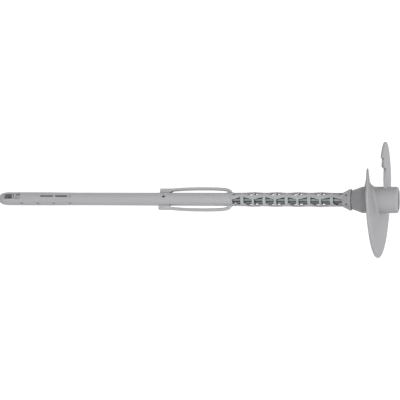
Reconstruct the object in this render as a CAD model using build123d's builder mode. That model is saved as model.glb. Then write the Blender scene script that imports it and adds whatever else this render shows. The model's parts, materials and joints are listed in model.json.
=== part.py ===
from build123d import *
import math
import os

# Plug for fixing soft insulation boards to a wall. A nylon sleeve with an
# expansion zone, two bowed arms and a crush cage is carried by a steel screw,
# and a spiral plate with a drive socket turns together with that screw.
#
# Every piece is modelled along the plug's own axis: Z runs from the tip to the
# head, angle 0 is the side that faces up when the plug lies on a table, and
# all lengths are millimetres. The finished pieces are then laid down together
# on the nose and on the rim of the plate, as the plug rests on a flat surface.

# Nose and expansion zone, for an 8 mm drill hole
nose_length = 5.5
nose_end_diameter = 5.6
nose_rise = 0.55
nose_wall = 1.9
expansion_diameter = 8.1
expansion_length = 27.5
taper_length = 23.0

# Openings of the expansion zone, in the front and back mould planes
front_angle = -26.0
tip_window_start = 3.45
tip_window_length = 5.4
tip_window_width = 3.5
tip_window_corner = 0.875
recess_starts = (9.4, 10.75)
recess_lengths = (0.6, 3.05)
recess_width = 3.7
recess_depth = 1.15
slit_starts = (27.4, 37.1)
slit_lengths = (8.5, 8.0)
slit_width = 0.85
notch_angle = 40.0
notch_starts = (14.2, 24.8, 35.3, 45.9)
notch_length = 1.8
notch_width = 1.0
notch_depth = 0.5
depth_mark_start = 46.5
depth_mark_length = 0.55
depth_mark_width = 3.6
depth_mark_depth = 0.3

# Tube, collar and bowed arms
tube_diameter = 7.75
tube_length = 46.7
tube_bore_diameter = 5.0
collar_length = 6.2
collar_span = 12.8
collar_hole_offset = 3.25
collar_hole_length = 1.85
collar_hole_width = 1.3
arm_angle = 72.0
arm_length = 38.4
arm_span = 14.7
arm_crown_offset = 19.5
arm_shoulder_rise = 0.1
arm_elbow_length = 6.6
arm_elbow_drop = 0.3
arm_elbow_fall = 0.08
arm_slot_run = 2.6
arm_heel_length = 3.4
arm_heel_height = 1.1
arm_thickness = 1.6
arm_width = 2.1
arm_edge_radius = 0.45

# Crush cage: rings, thin ribs half way between them, and four strands
ring_count = 5
ring_pitch = 13.13
ring_width = 1.7
rib_width = 1.2
ring_diameter = 8.06
belly_diameter = 8.66
ring_bore_diameter = 5.9
belly_bore_diameter = 7.3
strand_half_angle = 8.0
strand_root_half_angle = 28.0
strand_broad_half_angle = 24.0
strand_slim_half_angle = 5.0

# Neck and flange under the plate
neck_length = 2.6
flange_diameter = 12.3
flange_thickness = 1.9
flange_chamfer = 0.5
pocket_count = 6
pocket_first_angle = 30.0
pocket_width = 1.1
pocket_length = 1.3
pocket_floor_radius = 4.6

# Screw
screw_diameter = 3.8
screw_clearance = 0.08
screw_point_length = 5.2
screw_point_gap = 0.6
screw_point_diameter = 0.6
screw_head_diameter = 9.4
screw_head_height = 4.2
drive_lobes = 6
drive_core_diameter = 4.4
drive_lobe_diameter = 1.3
drive_depth = 2.8

# Hub and cone of the spiral plate
running_gap = 0.3
cone_length = 5.8
cone_start_diameter = 10.8
hub_diameter = 15.0
hub_length = 20.6
hub_edge_radius = 1.2
socket_across_flats = 10.6
socket_depth = 16.5
head_clearance = 0.05

# Spiral plate: its outline grows from the hub to the full radius at angle 0,
# keeps that radius for most of a turn and ends in a saw-toothed edge
plate_diameter = 66.0
plate_pitch = 11.5
plate_offset = 14.95
plate_lead_dip = 0.6
plate_ease_angle = 200.0
plate_ease_share = 0.8
plate_root_thickness = 1.7
plate_rim_thickness = 1.2
plate_lead_thickness = 0.6
plate_rim_bulge = 0.35
plate_start_angle = -165.0
plate_start_radius = 6.4
plate_root_depth = 1.0
plate_least_reach = 0.6
lead_root_fillet = 4.2
trail_root_fillet = 1.0
tip_side_fillet = 0.9
fillet_blend_angle = 90.0
hollow_reach = 1.2
hollow_height = 1.45
hollow_knee = 0.28
lead_line_share = 0.8
lead_curve_power = 6
section_step = 15.0
trail_edge = ((33.0, 315.6), (28.0, 305.4), (25.7, 315.0), (18.2, 284.6), (13.3, 300.8), (5.0, 306.0))
trail_overrun = 6.0

# Turn about the plug's axis at which it comes to rest, and the side it rests on
lying_turn = -10.0
underside_angle = 180.0

# Places along the axis, worked out from the lengths above
taper_start = nose_length + expansion_length
tube_start = taper_start + taper_length
collar_start = tube_start + tube_length
arm_start = collar_start + collar_length
cage_start = arm_start + arm_length
first_ring = cage_start + ring_pitch / 2
cage_end = cage_start + ring_count * ring_pitch
cavity_start = cage_start + rib_width / 2
cavity_end = cage_end - rib_width / 2
flange_start = cage_end + neck_length
sleeve_end = flange_start + flange_thickness
cone_start = sleeve_end + running_gap
hub_start = cone_start + cone_length
hub_end = hub_start + hub_length
socket_floor = hub_end - socket_depth
head_seat = socket_floor - screw_head_height
plate_middle = cone_start + plate_offset

# Radii, worked out from the diameters above
nose_end_radius = nose_end_diameter / 2
expansion_radius = expansion_diameter / 2
tube_radius = tube_diameter / 2
tube_bore_radius = tube_bore_diameter / 2
screw_radius = screw_diameter / 2
running_bore_radius = screw_radius + screw_clearance
ring_radius = ring_diameter / 2
belly_radius = belly_diameter / 2
ring_bore_radius = ring_bore_diameter / 2
belly_bore_radius = belly_bore_diameter / 2
flange_radius = flange_diameter / 2
hub_radius = hub_diameter / 2
plate_radius = plate_diameter / 2


def axial_plane(angle):
    """Plane through the axis: x runs along the plug, y points out at the angle."""
    turn = math.radians(angle)
    return Plane(origin=(0, 0, 0), x_dir=(0, 0, 1), z_dir=(-math.sin(turn), math.cos(turn), 0))


def facing_plane(angle, distance=0.0):
    """Plane that faces out at the angle: x runs along the plug, y goes round it."""
    turn = math.radians(angle)
    out = Vector(math.cos(turn), math.sin(turn), 0)
    return Plane(origin=out * distance, x_dir=(0, 0, 1), z_dir=out)


def section_plane(angle, station):
    """Plane through the axis: x points out at the angle, y runs along the plug."""
    turn = math.radians(angle)
    return Plane(
        origin=(0, 0, station),
        x_dir=(math.cos(turn), math.sin(turn), 0),
        z_dir=(math.sin(turn), -math.cos(turn), 0),
    )


def polar_direction(angle):
    """Direction that points out from the axis at an angle in degrees."""
    turn = math.radians(angle)
    return (math.cos(turn), math.sin(turn), 0)


def polar_point(radius, angle):
    """Point of a cross-section at a radius and an angle in degrees."""
    turn = math.radians(angle)
    return (radius * math.cos(turn), radius * math.sin(turn))


def cage_line(left_end, right_end, ring_line, belly_line):
    """Edge of the cage: straight along each ring and bowed between the rings."""
    here = left_end
    for ring in range(ring_count):
        ring_left = first_ring + ring * ring_pitch - ring_width / 2
        if ring > 0:
            ThreePointArc(
                (here, ring_line), ((here + ring_left) / 2, belly_line), (ring_left, ring_line)
            )
            here = ring_left
        ring_right = right_end if ring == ring_count - 1 else ring_left + ring_width
        Line((here, ring_line), (ring_right, ring_line))
        here = ring_right


# Openings of the cage. A half cell runs from a rib to a ring and has four
# wedge-shaped openings. On one side each strand broadens towards the ring, and
# on the other side the front and back strands broaden towards the rib.
strand_angles = (front_angle, arm_angle, front_angle + 180, arm_angle + 180)
cut_reach = flange_diameter


def opening_sides(index, low_half_angle, high_half_angle):
    """Angles of the two sides of an opening between two neighbouring strands."""
    shaped = index % 2 == 0
    low = strand_angles[index] + (low_half_angle if shaped else strand_half_angle)
    high = strand_angles[(index + 1) % 4] - high_half_angle
    return low, high if high > low else high + 360


with BuildPart() as half_cell:
    for opening in range(4):
        for station, low_half_angle, high_half_angle in (
            (rib_width / 2, strand_broad_half_angle, strand_half_angle),
            ((ring_pitch - ring_width) / 2, strand_slim_half_angle, strand_root_half_angle),
        ):
            low_side, high_side = opening_sides(opening, low_half_angle, high_half_angle)
            with BuildSketch(Plane.XY.offset(station)):
                with BuildLine():
                    Polyline(
                        (0, 0),
                        polar_point(cut_reach, low_side),
                        polar_point(cut_reach, (low_side + high_side) / 2),
                        polar_point(cut_reach, high_side),
                        close=True,
                    )
                make_face()
        loft()

with BuildPart() as mirrored_half_cell:
    mirror(half_cell.part, about=Plane.XY)

with BuildPart() as full_cell:
    add(half_cell.part)
    add(mirrored_half_cell.part)

# One bowed arm: a rounded strip that leaves the collar, bows out and comes back
# in to the cage, with a web at each end that closes the slot under it
arm_root = (tube_bore_radius + tube_radius) / 2
shoulder = collar_span / 2
crown = arm_span / 2
elbow = cage_start - arm_elbow_length
heel = cage_start - arm_heel_length

with BuildPart() as arm:
    with BuildLine(axial_plane(arm_angle)) as arm_path:
        Spline(
            (arm_start, shoulder - arm_thickness / 2),
            (arm_start + arm_crown_offset, crown - arm_thickness / 2),
            tangents=((1, arm_shoulder_rise), (1, 0)),
        )
        Spline(
            (arm_start + arm_crown_offset, crown - arm_thickness / 2),
            (elbow, crown - arm_elbow_drop - arm_thickness / 2),
            tangents=((1, 0), (1, -arm_elbow_fall)),
        )
        Spline(
            (elbow, crown - arm_elbow_drop - arm_thickness / 2),
            (cage_start - arm_thickness / 2, ring_radius - arm_thickness / 2),
            tangents=((1, -arm_elbow_fall), (0, -1)),
        )
    arm_section = Plane(
        origin=arm_path.line @ 0, x_dir=polar_direction(arm_angle), z_dir=arm_path.line % 0
    )
    with BuildSketch(arm_section):
        RectangleRounded(arm_thickness, arm_width, arm_edge_radius)
    sweep()
    with BuildSketch(axial_plane(arm_angle).offset(-arm_width / 2)):
        with BuildLine():
            Polyline(
                (collar_start, arm_root),
                (collar_start, shoulder),
                (arm_start, shoulder),
                (arm_start + arm_slot_run, shoulder - arm_thickness / 2),
                (arm_start, tube_radius),
                (arm_start, arm_root),
                close=True,
            )
        make_face()
        with BuildLine():
            Polyline(
                (heel, arm_root),
                (heel, tube_radius),
                (cage_start - arm_thickness, tube_radius + arm_heel_height),
                (cage_start, ring_radius),
                (cage_start, arm_root),
                close=True,
            )
        make_face()
    extrude(amount=arm_width)

# Sleeve: nose, expansion zone, tube, arms, cage and neck are one moulding
with BuildPart() as plug_sleeve:
    with BuildSketch(axial_plane(underside_angle)):
        with BuildLine():
            Line((0, 0), (0, nose_end_radius))
            Spline(
                (0, nose_end_radius),
                (nose_length, expansion_radius),
                tangents=((1, nose_rise), (1, 0)),
            )
            Polyline(
                (nose_length, expansion_radius),
                (taper_start, expansion_radius),
                (tube_start, tube_radius),
                (cage_start, tube_radius),
                (cage_start, ring_radius),
            )
            cage_line(cage_start, cavity_end, ring_radius, belly_radius)
            Polyline(
                (cavity_end, ring_radius),
                (flange_start, flange_radius - flange_chamfer),
                (flange_start + flange_chamfer, flange_radius),
                (sleeve_end, flange_radius),
                (sleeve_end, 0),
                (0, 0),
            )
        make_face()
    revolve(axis=Axis.Z)

    add(arm.part)
    add(arm.part, rotation=(0, 0, 180))

    # bore: a running fit at the tip and in the neck, wider in tube and cage
    with BuildSketch(axial_plane(underside_angle)):
        with BuildLine():
            Polyline(
                (nose_wall, 0),
                (nose_wall, running_bore_radius / 2),
                (nose_wall + screw_point_length, running_bore_radius),
                (tube_start, running_bore_radius),
                (tube_start, tube_bore_radius),
                (cavity_start, tube_bore_radius),
                (cavity_start, ring_bore_radius),
            )
            cage_line(cavity_start, cavity_end, ring_bore_radius, belly_bore_radius)
            Polyline(
                (cavity_end, ring_bore_radius),
                (cavity_end, running_bore_radius),
                (sleeve_end, running_bore_radius),
                (sleeve_end, 0),
                (nose_wall, 0),
            )
        make_face()
    revolve(axis=Axis.Z, mode=Mode.SUBTRACT)

    # openings of the cage, a half cell at each end and full cells between
    with Locations((0, 0, cage_start)):
        add(half_cell.part, mode=Mode.SUBTRACT)
    with Locations(*[(0, 0, cage_start + cell * ring_pitch) for cell in range(1, ring_count)]):
        add(full_cell.part, mode=Mode.SUBTRACT)
    with Locations((0, 0, cage_end)):
        add(mirrored_half_cell.part, mode=Mode.SUBTRACT)

    # window over the screw point, and slits that let the zone expand
    with BuildSketch(facing_plane(front_angle)):
        with Locations((tip_window_start + tip_window_length / 2, 0)):
            RectangleRounded(tip_window_length, tip_window_width, tip_window_corner)
        for start, length in zip(slit_starts, slit_lengths):
            with Locations((start + length / 2, 0)):
                SlotOverall(length, slit_width)
    extrude(amount=cut_reach, both=True, mode=Mode.SUBTRACT)

    # shallow recesses behind the window, front and back
    with BuildSketch(
        facing_plane(front_angle, expansion_radius - recess_depth),
        facing_plane(front_angle + 180, expansion_radius - recess_depth),
    ):
        for start, length in zip(recess_starts, recess_lengths):
            with Locations((start + length / 2, 0)):
                Rectangle(length, recess_width)
    extrude(amount=cut_reach, mode=Mode.SUBTRACT)

    # short notches along the lower side of the zone
    with BuildSketch(
        facing_plane(notch_angle, expansion_radius - notch_depth),
        facing_plane(notch_angle + 180, expansion_radius - notch_depth),
    ):
        for start in notch_starts:
            with Locations((start + notch_length / 2, 0)):
                SlotOverall(notch_length, notch_width)
    extrude(amount=cut_reach, mode=Mode.SUBTRACT)

    # shallow mark across the tube, at the depth that goes into the wall
    with BuildSketch(
        facing_plane(front_angle, tube_radius - depth_mark_depth),
        facing_plane(front_angle + 180, tube_radius - depth_mark_depth),
    ):
        with Locations((depth_mark_start + depth_mark_length / 2, 0)):
            Rectangle(depth_mark_length, depth_mark_width)
    extrude(amount=cut_reach, mode=Mode.SUBTRACT)

    # hole through the collar's front wall
    with BuildSketch(facing_plane(front_angle)):
        with Locations((collar_start + collar_hole_offset, 0)):
            SlotOverall(collar_hole_length, collar_hole_width)
    extrude(amount=cut_reach, mode=Mode.SUBTRACT)

    # pockets round the neck
    pocket_angles = [pocket_first_angle + 360 * step / pocket_count for step in range(pocket_count)]
    with BuildSketch(*[facing_plane(angle, pocket_floor_radius) for angle in pocket_angles]):
        with Locations((flange_start - pocket_length / 2, 0)):
            Rectangle(pocket_length, pocket_width)
    extrude(amount=cut_reach, mode=Mode.SUBTRACT)

plug_sleeve.part.label = "plug_sleeve"


# Spiral plate
def plate_height(angle):
    """Station of the plate's middle surface: its start dips, its end runs flatter."""
    dip = plate_lead_dip * (min(angle, 0) / 90) ** 2
    ease = plate_ease_share * max(angle - plate_ease_angle, 0)
    return plate_middle + plate_pitch * (angle - ease - 90) / 360 - dip


def lead_share(angle):
    """How far the outline has grown: 0 at the start of the plate, 1 from angle 0 on."""
    return min(1 - angle / plate_start_angle, 1)


def edge_thickness(angle):
    """Thickness at the outline, thin where the plate cuts in."""
    gain = plate_rim_thickness - plate_lead_thickness
    return plate_lead_thickness + gain * lead_share(angle)


def outline_radius(angle):
    """Radius of the plate's outline at an angle."""
    share = lead_share(angle)
    growth = lead_line_share * share + (1 - lead_line_share) * share**lead_curve_power
    return plate_start_radius + (plate_radius - plate_start_radius) * growth


def hollow_line(fillet, rim):
    """Foot's end, knee and height of the hollow on one side of a section."""
    reach = max(rim - plate_root_radius, plate_least_reach)
    hollow = min(fillet, (reach - plate_rim_bulge) / (2 * hollow_reach))
    foot_end = min(hub_radius + hollow_reach * hollow, rim - 2 * plate_rim_bulge)
    knee = plate_root_radius + hollow_knee * (foot_end - plate_root_radius)
    return foot_end, knee, plate_root_thickness / 2 + hollow_height * hollow


def root_fillet(angle):
    """Size of the hollow between plate and hub, large at the leading edge."""
    share = (angle + fillet_blend_angle) / (2 * fillet_blend_angle)
    share = min(max(share, 0.0), 1.0)
    return lead_root_fillet + (trail_root_fillet - lead_root_fillet) * share


plate_end_angle = trail_edge[0][1] + trail_overrun
section_count = math.ceil((plate_end_angle - plate_start_angle) / section_step)
plate_root_radius = hub_radius - plate_root_depth

with BuildPart() as plate_blade:
    for section in range(section_count + 1):
        turn = plate_start_angle + (plate_end_angle - plate_start_angle) * section / section_count
        rim = outline_radius(turn)
        foot = plate_root_thickness / 2
        edge = edge_thickness(turn) / 2
        high_end, high_knee, high_flare = hollow_line(root_fillet(turn), rim)
        low_end, low_knee, low_flare = hollow_line(tip_side_fillet, rim)
        with BuildSketch(section_plane(turn, plate_height(turn))):
            with BuildLine():
                Line((plate_root_radius, -low_flare), (plate_root_radius, high_flare))
                Bezier((plate_root_radius, high_flare), (high_knee, foot), (high_end, foot))
                Line((high_end, foot), (rim - plate_rim_bulge, edge))
                ThreePointArc((rim - plate_rim_bulge, edge), (rim, 0), (rim - plate_rim_bulge, -edge))
                Line((rim - plate_rim_bulge, -edge), (low_end, -foot))
                Bezier((low_end, -foot), (low_knee, -foot), (plate_root_radius, -low_flare))
            make_face()
    loft()

    # saw-toothed trailing edge
    with BuildSketch(Plane.XY.offset(plate_height(trail_edge[0][1]) - plate_pitch / 2)):
        with BuildLine():
            Polyline(
                polar_point(plate_radius + trail_overrun, trail_edge[0][1]),
                *[polar_point(radius, angle) for radius, angle in trail_edge],
                polar_point(trail_edge[-1][0], plate_end_angle + trail_overrun),
                polar_point(plate_radius + trail_overrun, plate_end_angle + trail_overrun),
                close=True,
            )
        make_face()
    extrude(amount=plate_pitch, mode=Mode.SUBTRACT)

with BuildPart() as spiral_plate:
    with BuildSketch(axial_plane(underside_angle)):
        with BuildLine():
            Polyline(
                (cone_start, 0),
                (cone_start, cone_start_diameter / 2),
                (hub_start, hub_radius),
                (hub_end, hub_radius),
                (hub_end, 0),
                (cone_start, 0),
            )
        make_face()
    revolve(axis=Axis.Z)
    fillet(spiral_plate.edges().filter_by(GeomType.CIRCLE).sort_by(Axis.Z)[-1], radius=hub_edge_radius)
    add(plate_blade.part)

    # drive socket, seat of the screw's head and hole for its shank
    with BuildSketch(Plane.XY.offset(hub_end)):
        RegularPolygon(socket_across_flats / 2, 6, major_radius=False)
    extrude(amount=-socket_depth, mode=Mode.SUBTRACT)
    with BuildSketch(Plane.XY.offset(socket_floor)):
        Circle(screw_head_diameter / 2 + head_clearance)
    extrude(amount=-screw_head_height, mode=Mode.SUBTRACT)
    with BuildSketch(Plane.XY.offset(head_seat)):
        Circle(running_bore_radius)
    extrude(amount=cone_start - head_seat, mode=Mode.SUBTRACT)

spiral_plate.part.label = "spiral_plate"

# Screw: point, shank and head with a lobed drive
screw_start = nose_wall + screw_point_gap
with BuildPart() as anchor_screw:
    with BuildSketch(axial_plane(underside_angle)):
        with BuildLine():
            Polyline(
                (screw_start, 0),
                (screw_start, screw_point_diameter / 2),
                (screw_start + screw_point_length, screw_radius),
                (head_seat, screw_radius),
                (head_seat, screw_head_diameter / 2),
                (socket_floor, screw_head_diameter / 2),
                (socket_floor, 0),
                (screw_start, 0),
            )
        make_face()
    revolve(axis=Axis.Z)
    with BuildSketch(Plane.XY.offset(socket_floor)):
        Circle(drive_core_diameter / 2)
        with PolarLocations(drive_core_diameter / 2, drive_lobes):
            Circle(drive_lobe_diameter / 2)
    extrude(amount=-drive_depth, mode=Mode.SUBTRACT)

anchor_screw.part.label = "anchor_screw"

# Lay the plug down: the nose and the rim of the plate touch the table
rim_contact = plate_height(180 - lying_turn) - plate_rim_thickness / 2
tilt = math.degrees(math.atan2(plate_radius - expansion_radius, rim_contact - nose_length))
pieces = [plug_sleeve.part, spiral_plate.part, anchor_screw.part]
laid = Rotation(0, 90 - tilt, 0) * Rotation(0, 0, lying_turn) * Rotation(0, 0, 180)
boxes = [piece.moved(laid).bounding_box() for piece in pieces]
low = [min(tuple(box.min)[axis] for box in boxes) for axis in range(3)]
high = [max(tuple(box.max)[axis] for box in boxes) for axis in range(3)]
print("box", [round(b - a, 2) for a, b in zip(low, high)], "tilt", round(tilt, 3))
rest = Location((-(low[0] + high[0]) / 2, -(low[1] + high[1]) / 2, -low[2])) * laid

os.makedirs("parts", exist_ok=True)
for piece in pieces:
    placed = piece.moved(rest)
    placed.label = piece.label
    export_step(placed, f"parts/{piece.label}.step")
    print(piece.label, piece.is_valid, round(piece.volume, 1), len(piece.solids()), len(piece.faces()))
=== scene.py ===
"""A nylon plug for insulation boards, lying on a pale table.

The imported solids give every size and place. This script dresses them: it copies
the moulded pieces as smooth meshes, models the threaded screw, and adds the
finishes, the table, the light and the camera.

Stations and the sizes of pieces are in millimetres, angles are in degrees, and
the studio's own sizes and distances are in metres.
"""

import json
import logging
import math
from collections.abc import Callable
from dataclasses import dataclass

import bpy
from mathutils import Matrix, Vector

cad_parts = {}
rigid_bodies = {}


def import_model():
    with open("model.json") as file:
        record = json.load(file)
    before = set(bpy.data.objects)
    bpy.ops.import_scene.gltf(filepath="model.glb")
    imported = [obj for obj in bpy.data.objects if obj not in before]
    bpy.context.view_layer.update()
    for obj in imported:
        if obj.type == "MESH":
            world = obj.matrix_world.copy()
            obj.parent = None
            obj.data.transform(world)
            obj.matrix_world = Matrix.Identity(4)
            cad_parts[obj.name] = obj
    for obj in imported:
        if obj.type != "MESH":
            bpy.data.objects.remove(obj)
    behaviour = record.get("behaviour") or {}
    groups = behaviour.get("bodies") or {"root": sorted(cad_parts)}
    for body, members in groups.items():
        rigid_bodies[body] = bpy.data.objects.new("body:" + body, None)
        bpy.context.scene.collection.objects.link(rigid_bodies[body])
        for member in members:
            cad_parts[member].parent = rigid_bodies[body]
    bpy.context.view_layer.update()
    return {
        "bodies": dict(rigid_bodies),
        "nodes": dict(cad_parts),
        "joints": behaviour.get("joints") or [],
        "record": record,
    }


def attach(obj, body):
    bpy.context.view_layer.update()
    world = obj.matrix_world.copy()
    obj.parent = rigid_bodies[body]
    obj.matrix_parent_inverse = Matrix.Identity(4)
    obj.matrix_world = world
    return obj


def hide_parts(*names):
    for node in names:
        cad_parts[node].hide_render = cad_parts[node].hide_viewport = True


LOG = logging.getLogger("wall_plug")
MM = 0.001
# A normal whose Z is below this looks straight down.
LOOKS_DOWN = -0.9


def held(value: float, low: float, high: float) -> float:
    """Holds a value between two limits."""
    return max(low, min(high, value))


@dataclass(frozen=True)
class PlugAxis:
    """The plug's own axis as it lies on the table.

    Stations run from the tip to the head in millimetres. Angle 0 faces the
    camera, and the angle grows the way a right-hand screw turns.

    Attributes:
        joint_point: The joint's place on the axis, in metres.
        along: Direction from the tip to the head.
        joint_station: Station of the joint's place.
        lying_turn: Turn about the axis from straight up to angle 0.
    """

    joint_point: Vector
    along: Vector
    joint_station: float = 217.75
    lying_turn: float = -10.0

    @property
    def facing(self) -> Vector:
        """Works out the direction across the plug at angle 0.

        Returns:
            The unit vector from the axis towards the camera's side.
        """
        up = Vector((0.0, 0.0, 1.0))
        level = (up - self.along * up.dot(self.along)).normalized()
        return Matrix.Rotation(math.radians(self.lying_turn), 3, self.along) @ level

    @property
    def across(self) -> Vector:
        """Direction across the plug at angle 90."""
        return self.along.cross(self.facing)

    @property
    def tip(self) -> Vector:
        """Where the axis leaves the nose."""
        return self.joint_point - self.along * self.joint_station * MM

    @property
    def matrix(self) -> Matrix:
        """Takes a piece from its drawing, with Z along the plug, to its place."""
        turn = Matrix((self.facing, self.across, self.along)).transposed().to_4x4()
        return Matrix.Translation(self.tip) @ turn

    def point(self, station: float) -> Vector:
        """Finds the point of the axis at a station, in metres."""
        return self.matrix @ (Vector((0.0, 0.0, station)) * MM)


class ShadeTree:
    """A material's nodes, with one way to add them."""

    def __init__(self, name: str) -> None:
        """Starts an empty material with an output and a Principled shader.

        Args:
            name: Name of the material.
        """
        self.material = bpy.data.materials.new(name)
        self.material.use_nodes = True
        self.tree = self.material.node_tree
        self.tree.nodes.clear()
        output = self.add("ShaderNodeOutputMaterial")
        self.shader = self.add("ShaderNodeBsdfPrincipled")
        self.tree.links.new(self.shader.outputs[0], output.inputs["Surface"])

    def add(
        self, kind: str, settings: dict | None = None, inputs: dict | None = None
    ) -> bpy.types.Node:
        """Adds a node with its settings, values and links.

        Args:
            kind: Blender's name for the type of node.
            settings: Properties of the node itself.
            inputs: Values or output sockets for its inputs, by name or number.

        Returns:
            The new node.
        """
        node = self.tree.nodes.new(kind)
        for key, value in (settings or {}).items():
            setattr(node, key, value)
        for key, value in (inputs or {}).items():
            self.feed(node, key, value)
        return node

    def feed(self, node: bpy.types.Node, key: str | int, value: object) -> None:
        """Sets an input of a node, or links an output socket to it.

        Args:
            node: The node whose input it is.
            key: Name or number of the input.
            value: The value, or the output socket to link.
        """
        if isinstance(value, bpy.types.NodeSocket):
            self.tree.links.new(value, node.inputs[key])
        else:
            node.inputs[key].default_value = value

    def plug_coords(self, axis: PlugAxis) -> bpy.types.NodeSocket:
        """Turns Object coordinates so that they lie along the plug.

        Args:
            axis: The plug's axis.

        Returns:
            The coordinates, in metres from the tip, with Z along the plug.
        """
        place = axis.matrix
        coords = self.add("ShaderNodeTexCoord").outputs["Object"]
        turned = self.add(
            "ShaderNodeMapping",
            {"vector_type": "TEXTURE"},
            {"Vector": coords, "Location": place.translation, "Rotation": place.to_euler()},
        )
        return turned.outputs[0]


def linear(hex_colour: str) -> tuple[float, float, float, float]:
    """Turns an sRGB hex value into a linear colour, by the sRGB curve.

    Args:
        hex_colour: Colour such as "#aabbcc".

    Returns:
        Red, green, blue and alpha, each from 0 to 1.
    """
    channels = []
    for start in (1, 3, 5):
        value = int(hex_colour[start : start + 2], 16) / 255
        channels.append(value / 12.92 if value <= 0.04045 else ((value + 0.055) / 1.055) ** 2.4)
    return (channels[0], channels[1], channels[2], 1.0)


@dataclass(frozen=True)
class MouldedNylon:
    """Injection-moulded polyamide: satin, a little translucent, finely eroded.

    The mould's spark-eroded wall leaves a fine grain, and the melt leaves faint
    cloudy streaks along the flow. The nooks are darkened with painted shade,
    where little light reaches into them.

    Attributes:
        smoother: How far the glossiest clouds fall below the roughness.
        rougher: How far the dullest clouds rise above it.
        grain_mm: Width of the grain. The real grain, of some hundredths of a
            millimetre, is too fine to show, so it is drawn coarser.
        relief_mm: Depth of the grain.
        streak: How many times longer than wide the clouds are.
        nook_mm: Reach within which a near wall makes a nook.
        nook_closed: Openness at which a nook is darkest.
        nook_open: Openness from which the surface is clean.
        nook_shade: Share of its colour that the darkest nook keeps under the painted shade.
    """

    name: str
    base: str = "#adadaf"
    cloud: str = "#a5a5a8"
    ior: float = 1.53
    roughness: float = 0.54
    smoother: float = 0.05
    rougher: float = 0.06
    grain_mm: float = 0.35
    grain_detail: float = 2.0
    grain_roughness: float = 0.6
    relief: float = 0.18
    relief_mm: float = 0.03
    cloud_mm: float = 9.0
    cloud_detail: float = 3.0
    cloud_roughness: float = 0.55
    streak: float = 4.0
    subsurface: float = 0.12
    subsurface_mm: float = 1.0
    subsurface_reach: tuple[float, float, float] = (1.0, 0.95, 0.9)
    gloss_level: float = 0.1
    nook_mm: float = 1.5
    nook_rays: int = 8
    nook_closed: float = 0.35
    nook_open: float = 0.9
    nook_shade: float = 0.4

    def colour(self, shade: ShadeTree, clouds: bpy.types.NodeSocket) -> bpy.types.NodeSocket:
        """Mixes the nylon's colour and paints shade into the nooks.

        Args:
            shade: The material's nodes.
            clouds: The pattern of the clouds.

        Returns:
            The finished colour.
        """
        tone = shade.add(
            "ShaderNodeMix",
            {"data_type": "RGBA"},
            {"Factor": clouds, "A": linear(self.base), "B": linear(self.cloud)},
        ).outputs["Result"]
        # Painted shade: ambient occlusion darkens the colour in the nooks, where little light
        # reaches.
        openness = shade.add(
            "ShaderNodeAmbientOcclusion",
            {"samples": self.nook_rays, "only_local": True},
            {"Distance": self.nook_mm * MM},
        ).outputs["AO"]
        painted_shade = shade.add(
            "ShaderNodeMapRange",
            {},
            {
                "Value": openness,
                "From Min": self.nook_closed,
                "From Max": self.nook_open,
                "To Min": self.nook_shade,
                "To Max": 1.0,
            },
        ).outputs[0]
        return shade.add(
            "ShaderNodeMix",
            {"data_type": "RGBA", "blend_type": "MULTIPLY"},
            {"Factor": 1.0, "A": tone, "B": painted_shade},
        ).outputs["Result"]

    def build(self, axis: PlugAxis) -> bpy.types.Material:
        """Makes the material.

        Args:
            axis: The plug's axis, which the streaks follow.

        Returns:
            The finished material.
        """
        shade = ShadeTree(self.name)
        local = shade.plug_coords(axis)
        drawn_out = shade.add(
            "ShaderNodeMapping",
            {"vector_type": "POINT"},
            {"Vector": local, "Scale": (1.0, 1.0, 1 / self.streak)},
        ).outputs[0]
        clouds = shade.add(
            "ShaderNodeTexNoise",
            {"noise_dimensions": "3D"},
            {
                "Vector": drawn_out,
                "Scale": 1 / (self.cloud_mm * MM),
                "Detail": self.cloud_detail,
                "Roughness": self.cloud_roughness,
            },
        ).outputs["Fac"]
        grain = shade.add(
            "ShaderNodeTexNoise",
            {"noise_dimensions": "3D"},
            {
                "Vector": local,
                "Scale": 1 / (self.grain_mm * MM),
                "Detail": self.grain_detail,
                "Roughness": self.grain_roughness,
            },
        ).outputs["Fac"]
        gloss = shade.add(
            "ShaderNodeMapRange",
            {},
            {
                "Value": clouds,
                "To Min": self.roughness - self.smoother,
                "To Max": self.roughness + self.rougher,
            },
        ).outputs[0]
        relief = shade.add(
            "ShaderNodeBump",
            {},
            {"Height": grain, "Strength": self.relief, "Distance": self.relief_mm * MM},
        ).outputs[0]
        shade.feed(shade.shader, "Base Color", self.colour(shade, clouds))
        shade.feed(shade.shader, "Roughness", gloss)
        shade.feed(shade.shader, "Normal", relief)
        shade.feed(shade.shader, "IOR", self.ior)
        shade.feed(shade.shader, "Specular IOR Level", self.gloss_level)
        shade.feed(shade.shader, "Subsurface Weight", self.subsurface)
        shade.feed(shade.shader, "Subsurface Radius", self.subsurface_reach)
        shade.feed(shade.shader, "Subsurface Scale", self.subsurface_mm * MM)
        return shade.material


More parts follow.
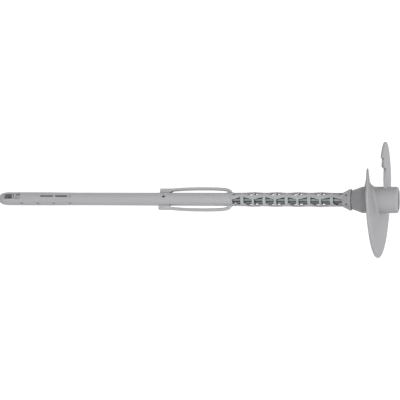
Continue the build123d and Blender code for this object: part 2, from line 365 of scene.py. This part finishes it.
@dataclass(frozen=True)
class ZincPlatedSteel:
    """Cold-formed steel wire with a thin bright zinc plating, drawn lengthwise.

    The die leaves fine lines along the wire, and the plating blooms in dull
    patches.

    Attributes:
        smoother: How far the brightest patches fall below the roughness.
        rougher: How far the dullest patches rise above it.
        line_mm: Width of the drawing lines. The real lines are too fine to
            show, so they are drawn coarser.
        line_stretch: How many times longer than wide the drawing lines are.
        relief_mm: Depth of the drawing lines.
    """

    name: str
    base: str = "#858e90"
    dull: str = "#6c7476"
    roughness: float = 0.42
    smoother: float = 0.08
    rougher: float = 0.12
    line_mm: float = 0.12
    line_detail: float = 2.0
    line_stretch: float = 40.0
    relief: float = 0.25
    relief_mm: float = 0.02
    bloom_mm: float = 2.5
    bloom_detail: float = 4.0

    def build(self, axis: PlugAxis) -> bpy.types.Material:
        """Makes the material.

        Args:
            axis: The plug's axis, which the drawing lines follow.

        Returns:
            The finished material.
        """
        shade = ShadeTree(self.name)
        local = shade.plug_coords(axis)
        drawn_out = shade.add(
            "ShaderNodeMapping",
            {"vector_type": "POINT"},
            {"Vector": local, "Scale": (1.0, 1.0, 1 / self.line_stretch)},
        ).outputs[0]
        lines = shade.add(
            "ShaderNodeTexNoise",
            {},
            {"Vector": drawn_out, "Scale": 1 / (self.line_mm * MM), "Detail": self.line_detail},
        ).outputs["Fac"]
        bloom = shade.add(
            "ShaderNodeTexNoise",
            {},
            {"Vector": local, "Scale": 1 / (self.bloom_mm * MM), "Detail": self.bloom_detail},
        ).outputs["Fac"]
        tone = shade.add(
            "ShaderNodeMix",
            {"data_type": "RGBA"},
            {"Factor": bloom, "A": linear(self.base), "B": linear(self.dull)},
        ).outputs["Result"]
        gloss = shade.add(
            "ShaderNodeMapRange",
            {},
            {
                "Value": bloom,
                "To Min": self.roughness - self.smoother,
                "To Max": self.roughness + self.rougher,
            },
        ).outputs[0]
        relief = shade.add(
            "ShaderNodeBump",
            {},
            {"Height": lines, "Strength": self.relief, "Distance": self.relief_mm * MM},
        ).outputs[0]
        shade.feed(shade.shader, "Base Color", tone)
        shade.feed(shade.shader, "Metallic", 1.0)
        shade.feed(shade.shader, "Roughness", gloss)
        shade.feed(shade.shader, "Normal", relief)
        return shade.material


@dataclass(frozen=True)
class OpalTable:
    """Opal acrylic of a product table, lit from below, so that nothing casts a shadow."""

    name: str = "opal_acrylic_table"
    base: str = "#4a4a4a"
    glow: str = "#ffffff"
    glow_strength: float = 1.02
    roughness: float = 0.8

    def build(self) -> bpy.types.Material:
        """Makes the material.

        Returns:
            The finished material.
        """
        shade = ShadeTree(self.name)
        shade.feed(shade.shader, "Base Color", linear(self.base))
        shade.feed(shade.shader, "Roughness", self.roughness)
        shade.feed(shade.shader, "Emission Color", linear(self.glow))
        shade.feed(shade.shader, "Emission Strength", self.glow_strength)
        return shade.material


class Bench:
    """Small helpers for working on one mesh at a time."""

    @staticmethod
    def clear_selection() -> None:
        """Leaves edit mode and deselects every object."""
        if bpy.context.object and bpy.context.object.mode != "OBJECT":
            bpy.ops.object.mode_set(mode="OBJECT")
        bpy.ops.object.select_all(action="DESELECT")

    @staticmethod
    def pick(piece: bpy.types.Object) -> None:
        """Makes one object the only selected and active one.

        Args:
            piece: The object.
        """
        Bench.clear_selection()
        piece.select_set(True)
        bpy.context.view_layer.objects.active = piece

    @staticmethod
    def dress(piece: bpy.types.Object, material: bpy.types.Material) -> None:
        """Gives a piece its one material."""
        piece.data.materials.clear()
        piece.data.materials.append(material)

    @staticmethod
    def settle(piece: bpy.types.Object, placed: Matrix) -> None:
        """Moves a piece's mesh from its drawing to its place."""
        piece.data.transform(placed @ piece.matrix_world)
        piece.matrix_world = Matrix.Identity(4)

    @staticmethod
    def edit_all(piece: bpy.types.Object) -> None:
        """Opens a piece in edit mode with all of it selected.

        Args:
            piece: Piece to open.
        """
        Bench.pick(piece)
        bpy.ops.object.mode_set(mode="EDIT")
        bpy.ops.mesh.select_all(action="SELECT")

    @staticmethod
    def edit_faces(
        piece: bpy.types.Object, wanted: Callable[[bpy.types.MeshPolygon], bool]
    ) -> None:
        """Opens a piece in edit mode with only the wanted faces selected.

        Args:
            piece: Piece to open.
            wanted: Says of a face whether it is selected.
        """
        Bench.pick(piece)
        bpy.ops.object.mode_set(mode="EDIT")
        bpy.ops.mesh.select_mode(type="FACE")
        bpy.ops.mesh.select_all(action="DESELECT")
        bpy.ops.object.mode_set(mode="OBJECT")
        for face in piece.data.polygons:
            face.select = wanted(face)
        bpy.ops.object.mode_set(mode="EDIT")

    @staticmethod
    def outward(piece: bpy.types.Object) -> None:
        """Turns the faces of a closed piece outwards.

        Args:
            piece: The closed piece.
        """
        Bench.edit_all(piece)
        bpy.ops.mesh.normals_make_consistent(inside=False)
        bpy.ops.object.mode_set(mode="OBJECT")

    @staticmethod
    def smooth(piece: bpy.types.Object, angle: float) -> None:
        """Shades a piece smooth, with edges sharper than the angle kept crisp."""
        Bench.pick(piece)
        bpy.ops.object.shade_smooth_by_angle(angle=math.radians(angle))

    @staticmethod
    def copy_of(node: bpy.types.Object, name: str, weld_mm: float = 0.002) -> bpy.types.Object:
        """Copies a solid as one welded mesh.

        Args:
            node: The solid's own object, which stays as it is.
            name: Name of the copy.
            weld_mm: Distance below which corners are one, in millimetres.

        Returns:
            The copy, at the origin.
        """
        piece = bpy.data.objects.new(name, node.data.copy())
        bpy.context.scene.collection.objects.link(piece)
        Bench.edit_all(piece)
        bpy.ops.mesh.remove_doubles(threshold=weld_mm * MM)
        bpy.ops.object.mode_set(mode="OBJECT")
        return piece


@dataclass(frozen=True)
class RoundShading:
    """Shading of turned faces, with normals that point straight out from the axis.

    The solids come as long thin triangles, and the plain average of their
    normals draws dark streaks beside each cut.

    Attributes:
        aside: How far a turned face may look aside.
        outward: Least share of a turned face's normal that points out or in.
        slope: Rise of radius along the axis below which a face counts as level.
        rise_mm: Rise of radius that always counts as level.
        steepest: Largest share of a normal that points along the axis.
        spread: How far a corner of a sloping face may lean from the face.
    """

    aside: float = 28.0
    outward: float = 0.2
    slope: float = 0.02
    rise_mm: float = 0.001
    steepest: float = 0.98
    spread: float = 0.1

    def is_turned(self, normal: Vector, spoke: Vector, axis: PlugAxis) -> bool:
        """Says whether a face was turned about the axis.

        Args:
            normal: The face's normal.
            spoke: Direction from the axis to the middle of the face.
            axis: The plug's axis.

        Returns:
            True where the face looks out or in, and hardly aside.
        """
        looks_aside = abs(normal.dot(axis.along.cross(spoke)))
        most_aside = math.sin(math.radians(self.aside))
        return abs(normal.dot(spoke)) >= self.outward and looks_aside <= most_aside

    def apply(self, piece: bpy.types.Object, axis: PlugAxis) -> None:
        """Sets the normals of a piece's turned faces.

        Args:
            piece: Welded and smooth-shaded piece, at the origin.
            axis: The plug's axis.
        """
        mesh = piece.data
        normals = [Vector(corner.vector) for corner in mesh.corner_normals]
        stations = [axis.along.dot(vertex.co - axis.tip) for vertex in mesh.vertices]
        spokes = [
            vertex.co - axis.tip - axis.along * station
            for vertex, station in zip(mesh.vertices, stations)
        ]
        for face in mesh.polygons:
            corners = list(face.vertices)
            middle = sum((spokes[corner] for corner in corners), Vector()).normalized()
            if not self.is_turned(face.normal, middle, axis):
                continue
            first = min(corners, key=lambda corner: stations[corner])
            last = max(corners, key=lambda corner: stations[corner])
            rise = abs(spokes[last].length - spokes[first].length)
            is_level = rise < self.slope * (stations[last] - stations[first]) + self.rise_mm * MM
            own_lean = held(face.normal.dot(axis.along), -self.steepest, self.steepest)
            spread = self.spread
            if is_level:
                own_lean = spread = 0.0
            side = face.normal.dot(middle)
            for loop in face.loop_indices:
                lean = held(normals[loop].dot(axis.along), own_lean - spread, own_lean + spread)
                lean = held(lean, -self.steepest, self.steepest)
                out = spokes[mesh.loops[loop].vertex_index].normalized()
                reach = math.copysign(math.sqrt(1 - lean * lean), side)
                normals[loop] = out * reach + axis.along * lean
        mesh.normals_split_custom_set(normals)


@dataclass
class Sleeve:
    """The long moulding: nose, expansion zone, tube, arms, cage and neck."""

    node: str = "plug_sleeve"
    crease_angle: float = 32.0

    def build(self, frame: dict, axis: PlugAxis) -> list[bpy.types.Object]:
        """Copies the solid as a smooth mesh and dresses it.

        Args:
            frame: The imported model.
            axis: The plug's axis.

        Returns:
            The pieces of the sleeve.
        """
        shell = Bench.copy_of(frame["nodes"][self.node], "sleeve_shell")
        Bench.smooth(shell, self.crease_angle)
        RoundShading().apply(shell, axis)
        Bench.dress(shell, MouldedNylon("moulded_nylon_sleeve").build(axis))
        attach(shell, "sleeve")
        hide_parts(self.node)
        return [shell]


@dataclass
class SpiralPlate:
    """The second moulding: cone, hub with its socket, and the spiral plate."""

    node: str = "spiral_plate"
    crease_angle: float = 32.0
    base: str = "#a0a0a3"
    cloud: str = "#98989b"
    # Share of its colour that the plate's darkest nook keeps under the painted shade.
    nook_shade: float = 0.85

    def build(self, frame: dict, axis: PlugAxis) -> list[bpy.types.Object]:
        """Copies the solid as a smooth mesh and dresses it.

        Args:
            frame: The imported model.
            axis: The plug's axis.

        Returns:
            The pieces of the plate.
        """
        plate = Bench.copy_of(frame["nodes"][self.node], "plate_and_hub")
        Bench.smooth(plate, self.crease_angle)
        RoundShading().apply(plate, axis)
        nylon = MouldedNylon(
            "moulded_nylon_plate", base=self.base, cloud=self.cloud, nook_shade=self.nook_shade
        )
        Bench.dress(plate, nylon.build(axis))
        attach(plate, "driver")
        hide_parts(self.node)
        return [plate]


@dataclass
class Screw:
    """The steel screw: head with a lobed recess, plain shank, threaded end.

    Attributes:
        point_start: Station of the screw's point.
        point_share: Share of its radius that the screw keeps at the point.
        thread_end: Station where the thread ends and the plain shank starts.
        thread_runout: Length over which the ridge sinks into the core.
        ridge_share: Half of the ridge's width at its foot, as a share of the pitch.
        ridge_corners: Corners of the ridge's section.
        sides: Sides of the core, and steps in each turn of the ridge.
    """

    node: str = "anchor_screw"
    crease_angle: float = 40.0
    point_start: float = 2.5
    point_length: float = 5.2
    point_share: float = 0.02
    thread_end: float = 52.0
    thread_runout: float = 1.6
    core_radius: float = 1.32
    crest_radius: float = 1.88
    thread_pitch: float = 1.75
    ridge_share: float = 0.22
    ridge_corners: int = 4
    sides: int = 32

    def shank(self, frame: dict, axis: PlugAxis) -> bpy.types.Object:
        """Copies the head and the plain shank, and cuts the solid's threaded end away.

        Args:
            frame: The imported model.
            axis: The plug's axis.

        Returns:
            The head and the plain shank.
        """
        shank = Bench.copy_of(frame["nodes"][self.node], "screw_shank")
        Bench.edit_all(shank)
        bpy.ops.mesh.bisect(
            plane_co=axis.point(self.thread_end),
            plane_no=axis.along,
            use_fill=True,
            clear_inner=True,
        )
        bpy.ops.object.mode_set(mode="OBJECT")
        return shank

    def core(self) -> bpy.types.Object:
        """Makes the core under the thread, with the stub that becomes its point.

        Returns:
            The core, drawn with Z along the plug.
        """
        length = self.thread_end - self.point_start - self.point_length
        Bench.clear_selection()
        bpy.ops.mesh.primitive_cylinder_add(
            vertices=self.sides,
            radius=self.core_radius * MM,
            depth=length * MM,
            location=(0.0, 0.0, (self.thread_end - length / 2) * MM),
        )
        core = bpy.context.object
        core.name = "screw_core"
        bpy.ops.object.transform_apply(location=True)
        Bench.edit_faces(core, lambda face: face.normal.z < LOOKS_DOWN)
        bpy.ops.mesh.extrude_region_move(
            TRANSFORM_OT_translate={"value": (0.0, 0.0, -self.point_length * MM)}
        )
        bpy.ops.object.mode_set(mode="OBJECT")
        return core

    def thread(self) -> bpy.types.Object:
        """Turns one ridge round the core, from the point to the run-out.

        Returns:
            The ridge, drawn with Z along the plug.
        """
        turns = math.floor((self.thread_end - self.point_start) / self.thread_pitch) - 1
        Bench.clear_selection()
        bpy.ops.mesh.primitive_circle_add(
            vertices=self.ridge_corners,
            radius=self.thread_pitch * self.ridge_share * MM,
            fill_type="NGON",
            rotation=(math.pi / 2, 0.0, 0.0),
            location=(self.core_radius * MM, 0.0, (self.point_start + self.thread_pitch / 2) * MM),
        )
        ridge = bpy.context.object
        ridge.name = "screw_thread"
        bpy.ops.object.transform_apply(location=True, rotation=True)
        outer = max(ridge.data.vertices, key=lambda corner: corner.co.x)
        outer.co.x = self.crest_radius * MM
        turn = ridge.modifiers.new("turns", "SCREW")
        turn.axis = "Z"
        turn.screw_offset = self.thread_pitch * MM
        turn.iterations = turns
        turn.steps = turn.render_steps = self.sides
        turn.use_merge_vertices = False
        bpy.ops.object.modifier_apply(modifier=turn.name)
        return ridge

    def draw_in(self, piece: bpy.types.Object) -> None:
        """Draws a piece in towards the axis along the screw's point and run-out.

        Args:
            piece: Piece drawn with Z along the plug, in metres.
        """
        for corner in piece.data.vertices:
            ahead = (corner.co.z / MM - self.point_start) / self.point_length
            behind = (self.thread_end - corner.co.z / MM) / self.thread_runout
            radius = math.hypot(corner.co.x, corner.co.y) / MM
            share = held(ahead, self.point_share, 1.0)
            if radius > self.core_radius and behind < 1:
                over = radius - self.core_radius
                share *= (self.core_radius + over * max(behind, 0.0)) / radius
            corner.co.x *= share
            corner.co.y *= share

    def build(self, frame: dict, axis: PlugAxis) -> list[bpy.types.Object]:
        """Copies the plain end of the solid and models the threaded end.

        Args:
            frame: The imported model.
            axis: The plug's axis.

        Returns:
            The pieces of the screw.
        """
        pieces = [self.core(), self.thread()]
        for piece in pieces:
            self.draw_in(piece)
            Bench.settle(piece, axis.matrix)
            Bench.outward(piece)
        pieces.append(self.shank(frame, axis))
        steel = ZincPlatedSteel("zinc_plated_steel").build(axis)
        for piece in pieces:
            Bench.smooth(piece, self.crease_angle)
            Bench.dress(piece, steel)
            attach(piece, "driver")
            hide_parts(self.node)
        RoundShading().apply(pieces[-1], axis)
        return pieces


@dataclass
class Studio:
    """Light table, soft box, sky and camera, placed round the plug as in the photograph.

    Attributes:
        aim_station: Station of the plug that the camera and the box point at.
        aim_drop_mm: How far below the axis the camera points in the picture.
        camera_turn: How far the camera stands round towards the head.
        camera_roll: How far the camera is rolled about its line of sight.
        box_turn: How far the box stands round towards the head.
        box_lean: How far the box leans over towards the foot of the picture.
    """

    aim_station: float = 127.62
    aim_drop_mm: float = 0.4
    camera_turn: float = 15.0
    camera_roll: float = 0.19
    camera_distance: float = 0.6926
    lens_mm: float = 105.3
    sensor_mm: float = 36.0
    clip_near: float = 0.01
    clip_far: float = 50.0
    table_size: float = 12.0
    sky: str = "#ffffff"
    sky_strength: float = 0.09
    box_size: float = 2.2
    box_distance: float = 1.1
    box_turn: float = 27.0
    box_lean: float = 9.0
    box_watts: float = 33.0

    def camera(self, axis: PlugAxis) -> None:
        """Places the camera where the photograph was taken from.

        Args:
            axis: The plug's axis.
        """
        turn = math.radians(self.camera_turn)
        roll = math.radians(self.camera_roll)
        back = axis.facing * math.cos(turn) + axis.along * math.sin(turn)
        right = axis.along * math.cos(turn) - axis.facing * math.sin(turn)
        up = -axis.across
        rolled_right = right * math.cos(roll) + up * math.sin(roll)
        rolled_up = up * math.cos(roll) - right * math.sin(roll)
        aim = axis.point(self.aim_station) + axis.across * self.aim_drop_mm * MM
        lens = bpy.data.cameras.new("photo_camera")
        lens.lens = self.lens_mm
        lens.sensor_width = self.sensor_mm
        lens.clip_start = self.clip_near
        lens.clip_end = self.clip_far
        camera = bpy.data.objects.new("photo_camera", lens)
        bpy.context.scene.collection.objects.link(camera)
        turned = Matrix((rolled_right, rolled_up, back)).transposed().to_4x4()
        camera.matrix_world = Matrix.Translation(aim + back * self.camera_distance) @ turned
        bpy.context.scene.camera = camera

    def table(self) -> None:
        """Makes the pale table top."""
        Bench.clear_selection()
        bpy.ops.mesh.primitive_plane_add(size=self.table_size, location=(0.0, 0.0, 0.0))
        table = bpy.context.object
        table.name = "table_top"
        Bench.dress(table, OpalTable().build())

    def sky_light(self) -> None:
        """Lights the room evenly from all round."""
        world = bpy.data.worlds.new("studio_sky")
        world.use_nodes = True
        sky = world.node_tree.nodes["Background"]
        sky.inputs["Color"].default_value = linear(self.sky)
        sky.inputs["Strength"].default_value = self.sky_strength
        bpy.context.scene.world = world

    def soft_box(self, axis: PlugAxis) -> None:
        """Hangs the square soft box over the plug, on the side of its head.

        Args:
            axis: The plug's axis.
        """
        turn = math.radians(self.box_turn)
        lean = math.radians(self.box_lean)
        upward = axis.facing * math.cos(lean) + axis.across * math.sin(lean)
        back = upward * math.cos(turn) + axis.along * math.sin(turn)
        aim = axis.point(self.aim_station)
        place = aim + back * self.box_distance
        lamp = bpy.data.lights.new("overhead_box", "AREA")
        lamp.shape = "SQUARE"
        lamp.size = self.box_size
        lamp.energy = self.box_watts
        stand = bpy.data.objects.new("overhead_box", lamp)
        bpy.context.scene.collection.objects.link(stand)
        turned = (aim - place).to_track_quat("-Z", "Y").to_matrix().to_4x4()
        stand.matrix_world = Matrix.Translation(place) @ turned

    def build(self, axis: PlugAxis) -> None:
        """Sets up the whole studio.

        Args:
            axis: The plug's axis.
        """
        self.table()
        self.sky_light()
        self.soft_box(axis)
        self.camera(axis)
        bpy.context.scene.view_settings.view_transform = "Standard"


def main() -> None:
    """Builds the pieces in order and reports each one."""
    logging.basicConfig(level=logging.INFO, format="%(name)s: %(message)s")
    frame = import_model()
    joint = frame["joints"][0]
    axis = PlugAxis(Vector(joint["pos_m"]), Vector(joint["axis"]).normalized())
    for part in (Sleeve(), SpiralPlate(), Screw()):
        for piece in part.build(frame, axis):
            LOG.info("%s: %d faces", piece.name, len(piece.data.polygons))
    Studio().build(axis)


if __name__ == "__main__":
    main()
